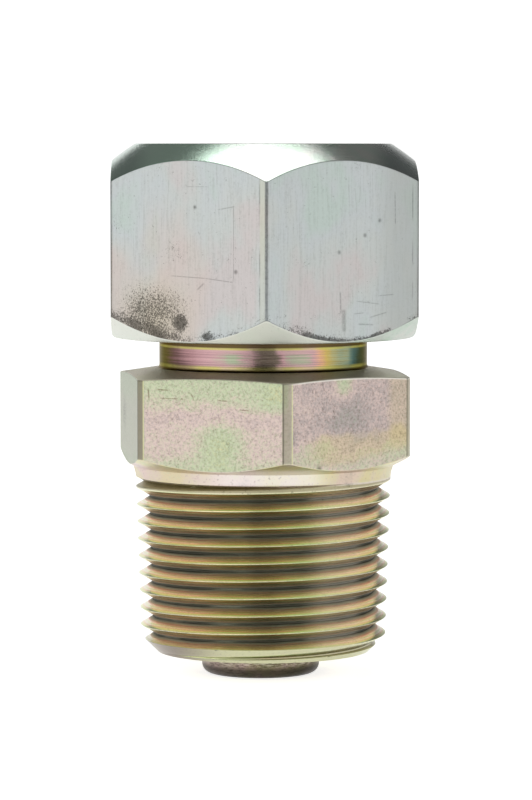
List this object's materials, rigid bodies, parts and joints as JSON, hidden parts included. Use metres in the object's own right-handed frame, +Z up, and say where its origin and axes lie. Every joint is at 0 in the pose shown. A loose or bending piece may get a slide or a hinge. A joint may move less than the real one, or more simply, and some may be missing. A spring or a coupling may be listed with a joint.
{
  "type": "vent cap",
  "caption": "Spring loaded vent cap: a hexagon cap with a top vent hole on a steel body with a tapered pipe thread, and a valve inside.",
  "frame": {"origin": "centre of the pipe thread's end face, on the axis", "axes": "+Z up the axis from the pipe thread to the cap's flat top; -Y is the side that the picture shows"},
  "size_m": [0.032, 0.0364, 0.0558],
  "materials": {
    "yellow_zinc_steel": "turned steel, zinc plated with an iridescent yellow chromate",
    "clear_zinc_steel": "turned steel, zinc plated with a clear chromate, scratched and stained",
    "yellow_zinc_cup": "turned steel, zinc plated with a yellow chromate, worn",
    "brass": "turned",
    "stainless": "drawn or pressed, bright",
    "spring_steel": "pressed, black oiled",
    "seal_rubber": "moulded",
    "fibre": "compressed fibre sheet"
  },
  "bodies": {
    "fitting": {"body": "yellow_zinc_steel", "stem_guide": "brass", "valve_spring": "stainless"},
    "valve": {"valve_poppet": "brass", "valve_seal": "seal_rubber", "seal_retainer": "stainless", "retaining_clip": "spring_steel", "spring_cup": "yellow_zinc_cup", "lock_washer": "stainless", "lock_nut": "stainless"},
    "screen_pack": {"cap_gasket": "fibre", "stop_plate": "brass", "vent_screen": "stainless"},
    "cap_shell": {"cap": "clear_zinc_steel"}
  },
  "joints": [
    {"name": "valve_lift", "type": "slide", "parent": "fitting", "child": "valve", "axis": [0, 0, 1], "range_m": [0, 0.0025], "stiffness_N_per_m": 1200, "springref_m": -0.005, "deforming": ["valve_spring"]},
    {"name": "cap_lift", "type": "slide", "parent": "fitting", "child": "screen_pack", "axis": [0, 0, 1], "range_m": [0, 0.01164]},
    {"name": "cap_turn", "type": "hinge", "parent": "screen_pack", "child": "cap_shell", "pos_m": [0, 0, 0.04635], "axis": [0, 0, 1], "range_deg": [0, 1980]}
  ],
  "couplings": [
    {"joint": "cap_lift", "follows": "cap_turn", "m_per_rad": 0.00033688}
  ]
}
